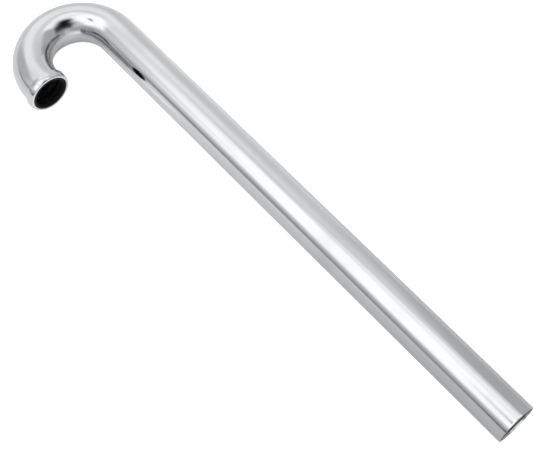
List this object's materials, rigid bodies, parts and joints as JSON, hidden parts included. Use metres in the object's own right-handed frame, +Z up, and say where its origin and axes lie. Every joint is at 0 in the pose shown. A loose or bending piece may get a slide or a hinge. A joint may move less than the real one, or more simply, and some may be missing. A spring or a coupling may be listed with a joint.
{
  "type": "tubular drain trap bend",
  "caption": "Chrome-plated tubular drain trap: long straight leg, tight half-turn return bend and a short leg with a collared, rubber-lined mouth.",
  "frame": {"origin": "on the surface that the part lies on, under the middle of its box", "axes": "+X along the long leg from the bend to the cut end, +Y across from the short leg to the long leg, +Z up"},
  "size_m": [0.4698, 0.1054, 0.0349],
  "materials": {
    "plated_tube": "bright chrome plate on drawn brass tube",
    "plated_collar": "bright chrome plate on turned brass, with fine lathe lines",
    "seal_rubber": "matt black moulded rubber"
  },
  "bodies": {
    "root": {"long_leg": "plated_tube", "return_bend": "plated_tube", "mouth_collar": "plated_collar", "mouth_seal": "seal_rubber"}
  },
  "joints": []
}
